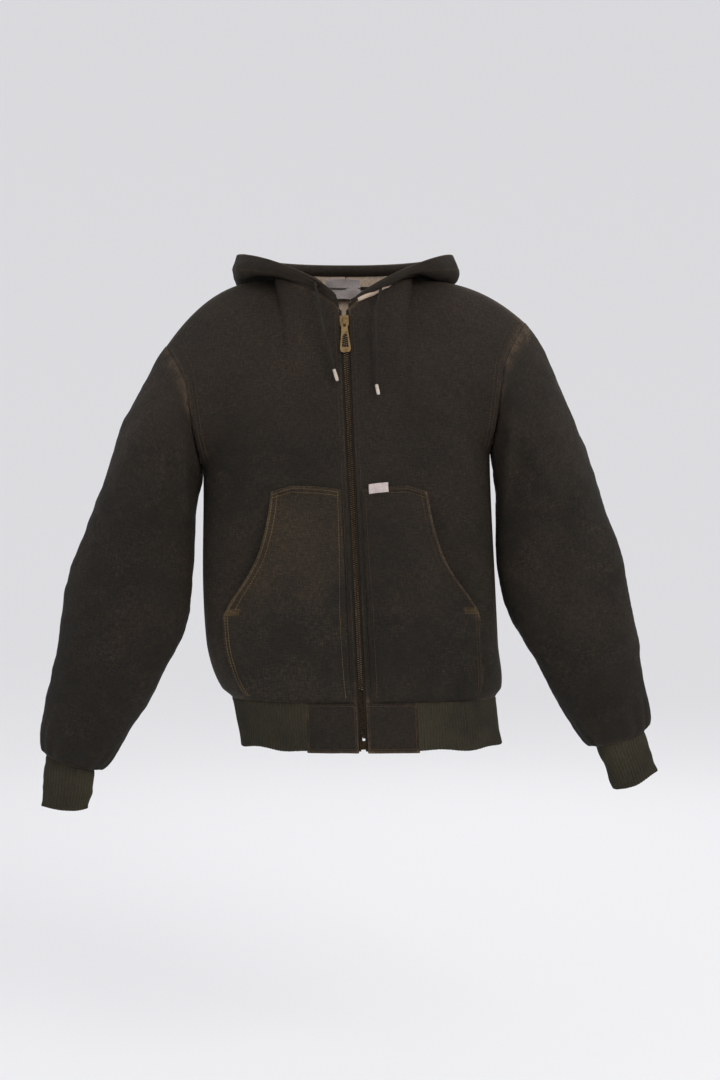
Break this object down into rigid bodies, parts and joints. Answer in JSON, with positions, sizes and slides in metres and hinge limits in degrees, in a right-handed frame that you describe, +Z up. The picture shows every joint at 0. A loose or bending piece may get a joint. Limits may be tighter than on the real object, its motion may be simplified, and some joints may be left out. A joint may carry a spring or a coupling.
{
  "type": "hooded work jacket",
  "caption": "Hooded zip-front work jacket in dark waxed cotton duck with rib-knit cuffs and waistband, drawcord hood, split hand pockets and a pale brushed lining.",
  "frame": {"origin": "the hanging point: the middle of the neck opening at the height of the shoulder line, where a hanger or a wearer's neck carries the jacket; y = 0 is the side seams' plane", "axes": "+X to the wearer's left (the viewer's right), front of the jacket faces -Y, +Z up"},
  "size_m": [0.8842, 0.277, 0.8077],
  "materials": {
    "duck": "matte waxed cotton duck, dark olive-brown",
    "rib_knit": "matte rib knit, dark olive",
    "lining": "brushed thermal lining, pale beige",
    "brass": "satin, slightly aged",
    "zip_tape": "woven tape, near black",
    "cord": "braided cord, dark brown",
    "cord_tip": "off-white moulded tip",
    "label": "woven label, grey, blank"
  },
  "bodies": {
    "body": {"front_left": "duck", "pocket_left": "duck", "waist_tab_left": "duck", "hood_left": "duck", "facing_left": "duck", "lining_front_left": "lining", "hood_lining_left": "lining", "zip_tape_left": "zip_tape", "zip_teeth_left": "brass", "zip_stop_left": "brass", "cord_tip_left": "cord_tip", "eyelet_left": "brass", "front_right": "duck", "pocket_right": "duck", "waist_tab_right": "duck", "hood_right": "duck", "facing_right": "duck", "lining_front_right": "lining", "hood_lining_right": "lining", "zip_tape_right": "zip_tape", "zip_teeth_right": "brass", "zip_stop_right": "brass", "cord_tip_right": "cord_tip", "eyelet_right": "brass", "back": "duck", "lining_back": "lining", "waistband_rib": "rib_knit", "hood_casing": "duck", "zip_pin": "brass", "zip_retainer": "brass", "drawcord": "cord", "neck_label": "label", "pocket_label": "label"},
    "sleeve_left": {"sleeve_left": "duck", "lining_sleeve_left": "lining", "cuff_left": "rib_knit"},
    "sleeve_right": {"sleeve_right": "duck", "lining_sleeve_right": "lining", "cuff_right": "rib_knit"},
    "zip_slider": {"zip_slider": "brass"},
    "pull_tab": {"pull_tab": "brass"}
  },
  "joints": [
    {"name": "zip_slide", "type": "slide", "parent": "body", "child": "zip_slider", "axis": [0.045, 0, -0.999], "range_m": [0, 0.575]},
    {"name": "tab_swing", "type": "hinge", "parent": "zip_slider", "child": "pull_tab", "pos_m": [-0.00054, -0.09375, -0.09219], "axis": [0.999, 0, 0.045], "range_deg": [-120, 0]},
    {"name": "left_sleeve_lift", "type": "hinge", "parent": "body", "child": "sleeve_left", "pos_m": [0.2568, 0, -0.0775], "axis": [0, -1, 0], "range_deg": [0, 45]},
    {"name": "right_sleeve_lift", "type": "hinge", "parent": "body", "child": "sleeve_right", "pos_m": [-0.2571, 0, -0.1115], "axis": [0, 1, 0], "range_deg": [0, 45]}
  ]
}
